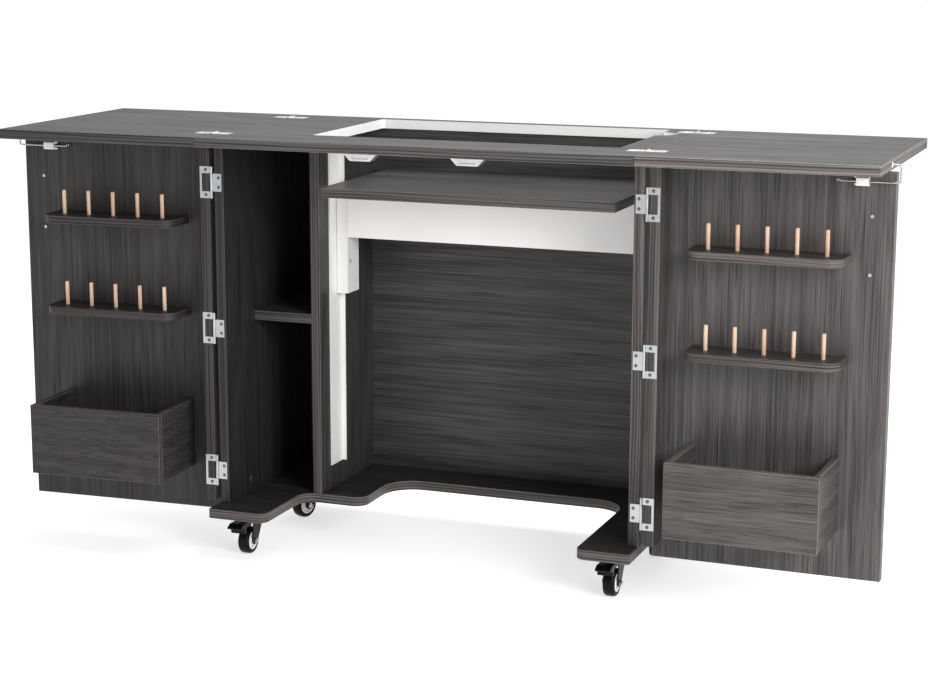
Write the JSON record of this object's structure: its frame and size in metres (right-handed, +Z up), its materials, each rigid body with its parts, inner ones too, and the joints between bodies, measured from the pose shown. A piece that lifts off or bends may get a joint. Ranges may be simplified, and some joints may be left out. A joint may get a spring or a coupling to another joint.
{
  "type": "sewing table",
  "caption": "Sewing cabinet on casters with fold-out leaves, swing-out storage doors with spool racks and baskets, and a machine platform that slides up and down.",
  "frame": {"origin": "on the floor, under the middle of the open table's box", "axes": "+X along the open table to the sewer's right, +Y to the back, +Z up"},
  "size_m": [1.6294, 0.5018, 0.777],
  "materials": {
    "top_laminate": "charcoal woodgrain laminate, satin",
    "carcass_laminate": "charcoal woodgrain laminate, satin",
    "door_laminate": "charcoal woodgrain laminate, satin",
    "peg_wood": "turned beech, smooth",
    "zinc_steel": "zinc plated",
    "nickel_steel": "nickel plated",
    "handle_steel": "satin",
    "white_plastic": "moulded, satin",
    "white_steel": "white powder coat",
    "white_laminate": "white melamine-faced board, satin",
    "nylon": "natural nylon",
    "caster_black": "black, satin",
    "caster_tread": "black tread on an off-white hub"
  },
  "bodies": {
    "cabinet": {"base_panel": "carcass_laminate", "left_side_panel": "carcass_laminate", "right_side_panel": "carcass_laminate", "divider_panel": "carcass_laminate", "back_panel": "carcass_laminate", "compartment_shelf": "carcass_laminate", "centre_top": "top_laminate", "opening_liner": "white_plastic", "lift_rails": "white_steel", "door_catches": "white_plastic", "door_hinge_cabinet_plates": "zinc_steel", "fold_hinge_centre_plates": "nickel_steel", "caster_plates": "caster_black"},
    "left_leaf": {"left_leaf_top": "top_laminate", "left_fold_hinge_plates": "nickel_steel"},
    "right_leaf": {"right_leaf_top": "top_laminate", "right_fold_hinge_plates": "nickel_steel"},
    "left_door": {"left_door_panel": "door_laminate", "left_door_return": "door_laminate", "left_spool_shelves": "door_laminate", "left_spool_pegs": "peg_wood", "left_basket_front": "door_laminate", "left_basket_ends": "door_laminate", "left_basket_bottom": "door_laminate", "left_door_hinge_frames": "zinc_steel", "left_wire_clip": "white_plastic", "left_door_handle": "handle_steel", "left_handle_screws": "zinc_steel"},
    "right_door": {"right_door_panel": "door_laminate", "right_door_return": "door_laminate", "right_spool_shelves": "door_laminate", "right_spool_pegs": "peg_wood", "right_basket_front": "door_laminate", "right_basket_ends": "door_laminate", "right_basket_bottom": "door_laminate", "right_door_hinge_frames": "zinc_steel", "right_wire_clip": "white_plastic", "right_door_handle": "handle_steel", "right_handle_screws": "zinc_steel"},
    "left_wire": {"left_support_wire": "zinc_steel"},
    "right_wire": {"right_support_wire": "zinc_steel"},
    "lift": {"lift_platform": "carcass_laminate", "lift_apron": "white_laminate", "lift_carriages": "white_steel", "lift_glides": "nylon"},
    "front_left_fork": {"front_left_caster_fork": "caster_black", "front_left_caster_axle": "zinc_steel"},
    "front_left_wheel": {"front_left_caster_wheel": "caster_tread"},
    "front_right_fork": {"front_right_caster_fork": "caster_black", "front_right_caster_axle": "zinc_steel"},
    "front_right_wheel": {"front_right_caster_wheel": "caster_tread"},
    "rear_left_fork": {"rear_left_caster_fork": "caster_black", "rear_left_caster_axle": "zinc_steel"},
    "rear_left_wheel": {"rear_left_caster_wheel": "caster_tread"},
    "rear_right_fork": {"rear_right_caster_fork": "caster_black", "rear_right_caster_axle": "zinc_steel"},
    "rear_right_wheel": {"rear_right_caster_wheel": "caster_tread"},
    "front_left_pedal": {"front_left_brake_pedal": "caster_black"},
    "front_right_pedal": {"front_right_brake_pedal": "caster_black"}
  },
  "joints": [
    {"name": "left_leaf_fold", "type": "hinge", "parent": "cabinet", "child": "left_leaf", "pos_m": [-0.3998, 0, 0.7754], "axis": [0, 1, 0], "range_deg": [0, 180]},
    {"name": "right_leaf_fold", "type": "hinge", "parent": "cabinet", "child": "right_leaf", "pos_m": [0.3998, 0, 0.7754], "axis": [0, -1, 0], "range_deg": [0, 180]},
    {"name": "left_door_swing", "type": "hinge", "parent": "cabinet", "child": "left_door", "pos_m": [-0.4036, -0.1336, 0.4215], "axis": [0, 0, 1], "range_deg": [-2.8, 177.2]},
    {"name": "right_door_swing", "type": "hinge", "parent": "cabinet", "child": "right_door", "pos_m": [0.4036, -0.1336, 0.4215], "axis": [0, 0, -1], "range_deg": [-1.1, 178.9]},
    {"name": "left_wire_fold", "type": "hinge", "parent": "left_door", "child": "left_wire", "pos_m": [-0.75279, -0.10552, 0.737], "axis": [0.9988, 0.0488, 0], "range_deg": [-2.8, 177.2]},
    {"name": "right_wire_fold", "type": "hinge", "parent": "right_door", "child": "right_wire", "pos_m": [0.75171, -0.10018, 0.737], "axis": [0.9998, -0.0192, 0], "range_deg": [-1.1, 178.9]},
    {"name": "lift_slide", "type": "slide", "parent": "cabinet", "child": "lift", "axis": [0, 0, 1], "range_m": [-0.32, 0.093]},
    {"name": "front_left_swivel", "type": "hinge", "parent": "cabinet", "child": "front_left_fork", "pos_m": [-0.35, -0.099, 0.072], "axis": [0, 0, 1], "continuous": true},
    {"name": "front_left_roll", "type": "hinge", "parent": "front_left_fork", "child": "front_left_wheel", "pos_m": [-0.35, -0.119, 0.025], "axis": [1, 0, 0], "continuous": true},
    {"name": "front_left_brake", "type": "hinge", "parent": "front_left_fork", "child": "front_left_pedal", "pos_m": [-0.35, -0.1165, 0.0613], "axis": [1, 0, 0], "range_deg": [0, 12]},
    {"name": "front_right_swivel", "type": "hinge", "parent": "cabinet", "child": "front_right_fork", "pos_m": [0.35, -0.099, 0.072], "axis": [0, 0, 1], "continuous": true},
    {"name": "front_right_roll", "type": "hinge", "parent": "front_right_fork", "child": "front_right_wheel", "pos_m": [0.35, -0.119, 0.025], "axis": [1, 0, 0], "continuous": true},
    {"name": "front_right_brake", "type": "hinge", "parent": "front_right_fork", "child": "front_right_pedal", "pos_m": [0.35, -0.1165, 0.0613], "axis": [1, 0, 0], "range_deg": [0, 12]},
    {"name": "rear_left_swivel", "type": "hinge", "parent": "cabinet", "child": "rear_left_fork", "pos_m": [-0.35, 0.159, 0.072], "axis": [0, 0, 1], "continuous": true},
    {"name": "rear_left_roll", "type": "hinge", "parent": "rear_left_fork", "child": "rear_left_wheel", "pos_m": [-0.35684, 0.14021, 0.025], "axis": [0.9397, -0.342, 0], "continuous": true},
    {"name": "rear_right_swivel", "type": "hinge", "parent": "cabinet", "child": "rear_right_fork", "pos_m": [0.35, 0.159, 0.072], "axis": [0, 0, 1], "continuous": true},
    {"name": "rear_right_roll", "type": "hinge", "parent": "rear_right_fork", "child": "rear_right_wheel", "pos_m": [0.35484, 0.13959, 0.025], "axis": [0.9703, 0.2419, 0], "continuous": true}
  ],
  "couplings": [
    {"joint": "left_wire_fold", "follows": "left_door_swing", "ratio": 1},
    {"joint": "right_wire_fold", "follows": "right_door_swing", "ratio": 1}
  ]
}
